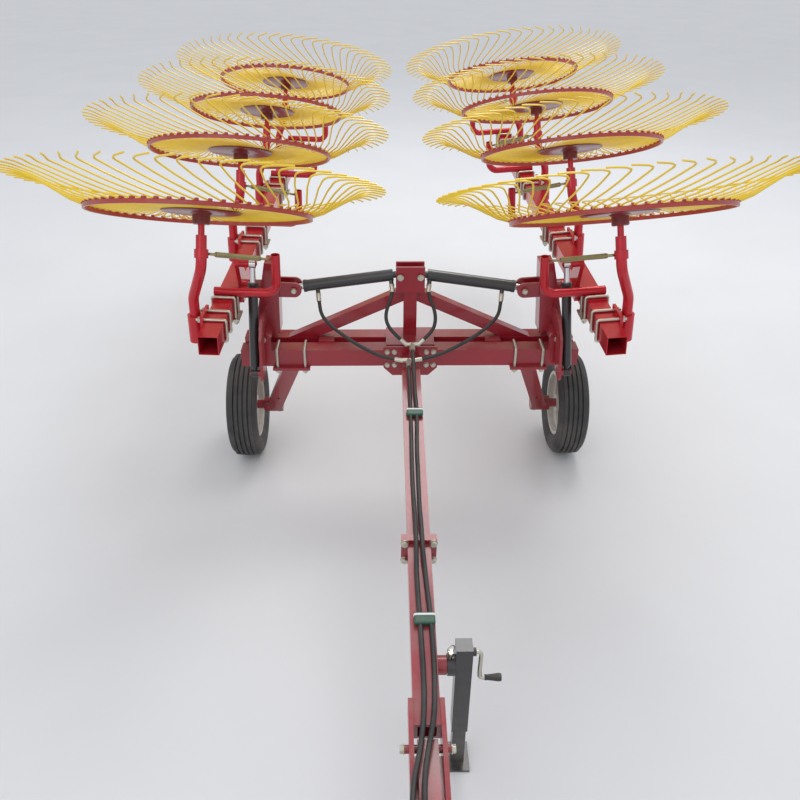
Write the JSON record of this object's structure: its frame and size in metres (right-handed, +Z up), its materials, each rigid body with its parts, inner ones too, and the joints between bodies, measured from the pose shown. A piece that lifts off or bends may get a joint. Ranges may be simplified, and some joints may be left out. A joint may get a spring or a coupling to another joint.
{
  "type": "towed wheel rake",
  "caption": "Towed V wheel rake folded for transport: a double crossbeam on two road wheels, leaning beams of tined rake wheels on sprung arms, and a long drawbar on its parking jack.",
  "frame": {"origin": "centre of the hitch pin's bore in the clevis", "axes": "-Y towards the tractor, +Y back along the machine, +Z up along the hitch pin, +X to the right as seen from the hitch"},
  "size_m": [2.9835, 5.516, 1.9021],
  "materials": {
    "frame_red": "gloss",
    "beam_red": "gloss",
    "wheel_yellow": "satin",
    "rim_paint": "satin",
    "tyre": "matt",
    "black_paint": "satin",
    "bright_steel": "bright",
    "zinc": "satin zinc",
    "spring_zinc": "olive zinc",
    "hose": "matt"
  },
  "bodies": {
    "frame": {"crossbeam": "frame_red", "mast": "frame_red", "drawbar_rear": "frame_red", "drawbar_front": "frame_red", "hitch": "frame_red", "left_axle_leg": "frame_red", "right_axle_leg": "frame_red", "couplers": "zinc", "hydraulic_tees": "zinc", "left_inner_hose": "hose", "left_outer_hose": "hose", "leg_u_bolts": "zinc", "main_hose_1": "hose", "main_hose_2": "hose", "right_inner_hose": "hose", "right_outer_hose": "hose"},
    "left_road_wheel": {"left_tyre": "tyre", "left_rim": "rim_paint"},
    "left_tower": {"left_tower": "frame_red"},
    "left_beam": {"left_rake_beam": "beam_red", "left_arms": "beam_red", "left_spring_posts": "beam_red", "left_springs": "spring_zinc", "left_u_bolts": "zinc"},
    "left_rake_wheel_1": {"left_rake_wheel_1": "wheel_yellow"},
    "left_rake_wheel_2": {"left_rake_wheel_2": "wheel_yellow"},
    "left_rake_wheel_3": {"left_rake_wheel_3": "wheel_yellow"},
    "left_rake_wheel_4": {"left_rake_wheel_4": "wheel_yellow"},
    "left_lift_barrel": {"left_lift_barrel": "black_paint"},
    "left_lift_rod": {"left_lift_rod": "bright_steel"},
    "left_spread_barrel": {"left_spread_barrel": "black_paint"},
    "left_spread_rod": {"left_spread_rod": "bright_steel"},
    "right_road_wheel": {"right_tyre": "tyre", "right_rim": "rim_paint"},
    "right_tower": {"right_tower": "frame_red"},
    "right_beam": {"right_rake_beam": "beam_red", "right_arms": "beam_red", "right_spring_posts": "beam_red", "right_springs": "spring_zinc", "right_u_bolts": "zinc"},
    "right_rake_wheel_1": {"right_rake_wheel_1": "wheel_yellow"},
    "right_rake_wheel_2": {"right_rake_wheel_2": "wheel_yellow"},
    "right_rake_wheel_3": {"right_rake_wheel_3": "wheel_yellow"},
    "right_rake_wheel_4": {"right_rake_wheel_4": "wheel_yellow"},
    "right_lift_barrel": {"right_lift_barrel": "black_paint"},
    "right_lift_rod": {"right_lift_rod": "bright_steel"},
    "right_spread_barrel": {"right_spread_barrel": "black_paint"},
    "right_spread_rod": {"right_spread_rod": "bright_steel"},
    "jack": {"jack_tube": "black_paint", "jack_crank": "zinc"},
    "jack_leg": {"jack_leg": "black_paint"}
  },
  "joints": [
    {"name": "left_road_wheel_spin", "type": "hinge", "parent": "frame", "child": "left_road_wheel", "pos_m": [-0.825, 2.718, -0.165], "axis": [1, 0, 0], "continuous": true},
    {"name": "left_fold", "type": "hinge", "parent": "frame", "child": "left_tower", "pos_m": [-0.66, 2.505, 0.395], "axis": [0, -1, 0], "range_deg": [0, 87]},
    {"name": "left_spread", "type": "hinge", "parent": "left_tower", "child": "left_beam", "pos_m": [-0.79353, 2.505, 0.58277], "axis": [-0.9994, 0, 0.0349], "range_deg": [0, 18]},
    {"name": "left_rake_wheel_1_spin", "type": "hinge", "parent": "left_beam", "child": "left_rake_wheel_1", "pos_m": [-0.8094, 2.15051, 1.05061], "axis": [0.039, 0.4067, 0.9127], "continuous": true},
    {"name": "left_rake_wheel_2_spin", "type": "hinge", "parent": "left_beam", "child": "left_rake_wheel_2", "pos_m": [-0.79405, 3.03037, 1.05008], "axis": [0.039, 0.4067, 0.9127], "continuous": true},
    {"name": "left_rake_wheel_3_spin", "type": "hinge", "parent": "left_beam", "child": "left_rake_wheel_3", "pos_m": [-0.7787, 3.91024, 1.04954], "axis": [0.039, 0.4067, 0.9127], "continuous": true},
    {"name": "left_rake_wheel_4_spin", "type": "hinge", "parent": "left_beam", "child": "left_rake_wheel_4", "pos_m": [-0.76336, 4.79011, 1.049], "axis": [0.039, 0.4067, 0.9127], "continuous": true},
    {"name": "left_lift_barrel_turn", "type": "hinge", "parent": "frame", "child": "left_lift_barrel", "pos_m": [-0.045, 2.505, 0.65], "axis": [0, -1, 0], "range_deg": [-0.609, 0]},
    {"name": "left_lift_rod_slide", "type": "slide", "parent": "left_lift_barrel", "child": "left_lift_rod", "axis": [-0.9913, 0, -0.1313], "range_m": [0, 0.331]},
    {"name": "left_spread_barrel_turn", "type": "hinge", "parent": "left_tower", "child": "left_spread_barrel", "pos_m": [-0.69424, 2.275, 0.27412], "axis": [-0.9994, 0, 0.0349], "range_deg": [0, 5.84]},
    {"name": "left_spread_rod_slide", "type": "slide", "parent": "left_spread_barrel", "child": "left_spread_rod", "axis": [0.0339, 0.2367, 0.971], "range_m": [0, 0.04542]},
    {"name": "right_road_wheel_spin", "type": "hinge", "parent": "frame", "child": "right_road_wheel", "pos_m": [0.825, 2.718, -0.165], "axis": [1, 0, 0], "continuous": true},
    {"name": "right_fold", "type": "hinge", "parent": "frame", "child": "right_tower", "pos_m": [0.66, 2.505, 0.395], "axis": [0, 1, 0], "range_deg": [0, 89]},
    {"name": "right_spread", "type": "hinge", "parent": "right_tower", "child": "right_beam", "pos_m": [0.78689, 2.505, 0.58732], "axis": [-0.9976, 0, -0.0698], "range_deg": [0, 18]},
    {"name": "right_rake_wheel_1_spin", "type": "hinge", "parent": "right_beam", "child": "right_rake_wheel_1", "pos_m": [0.78695, 2.1408, 1.04792], "axis": [-0.0714, 0.3875, 0.9191], "continuous": true},
    {"name": "right_rake_wheel_2_spin", "type": "hinge", "parent": "right_beam", "child": "right_rake_wheel_2", "pos_m": [0.77035, 3.02048, 1.06523], "axis": [-0.0714, 0.3875, 0.9191], "continuous": true},
    {"name": "right_rake_wheel_3_spin", "type": "hinge", "parent": "right_beam", "child": "right_rake_wheel_3", "pos_m": [0.75374, 3.90015, 1.08254], "axis": [-0.0714, 0.3875, 0.9191], "continuous": true},
    {"name": "right_rake_wheel_4_spin", "type": "hinge", "parent": "right_beam", "child": "right_rake_wheel_4", "pos_m": [0.73714, 4.77982, 1.09985], "axis": [-0.0714, 0.3875, 0.9191], "continuous": true},
    {"name": "right_lift_barrel_turn", "type": "hinge", "parent": "frame", "child": "right_lift_barrel", "pos_m": [0.045, 2.505, 0.65], "axis": [0, 1, 0], "range_deg": [-1.32, 0]},
    {"name": "right_lift_rod_slide", "type": "slide", "parent": "right_lift_barrel", "child": "right_lift_rod", "axis": [0.9896, 0, -0.1436], "range_m": [0, 0.33687]},
    {"name": "right_spread_barrel_turn", "type": "hinge", "parent": "right_tower", "child": "right_spread_barrel", "pos_m": [0.69844, 2.275, 0.27539], "axis": [-0.9976, 0, -0.0698], "range_deg": [0, 5.79]},
    {"name": "right_spread_rod_slide", "type": "slide", "parent": "right_spread_barrel", "child": "right_spread_rod", "axis": [-0.0679, 0.2311, 0.9706], "range_m": [0, 0.04612]},
    {"name": "jack_swivel", "type": "hinge", "parent": "frame", "child": "jack", "pos_m": [0.084, 0.86, 0.04], "axis": [1, 0, 0], "range_deg": [0, 90]},
    {"name": "jack_leg_slide", "type": "slide", "parent": "jack", "child": "jack_leg", "axis": [0, 0, 1], "range_m": [0, 0.12]}
  ],
  "couplings": [
    {"joint": "left_lift_barrel_turn", "follows": "left_fold", "ratio": -0.001249},
    {"joint": "left_lift_rod_slide", "follows": "left_fold", "m_per_rad": 0.21601},
    {"joint": "left_spread_barrel_turn", "follows": "left_spread", "ratio": 0.29648},
    {"joint": "left_spread_rod_slide", "follows": "left_spread", "m_per_rad": 0.13504},
    {"joint": "right_lift_barrel_turn", "follows": "right_fold", "ratio": -0.0092009},
    {"joint": "right_lift_rod_slide", "follows": "right_fold", "m_per_rad": 0.21494},
    {"joint": "right_spread_barrel_turn", "follows": "right_spread", "ratio": 0.29416},
    {"joint": "right_spread_rod_slide", "follows": "right_spread", "m_per_rad": 0.13725}
  ]
}
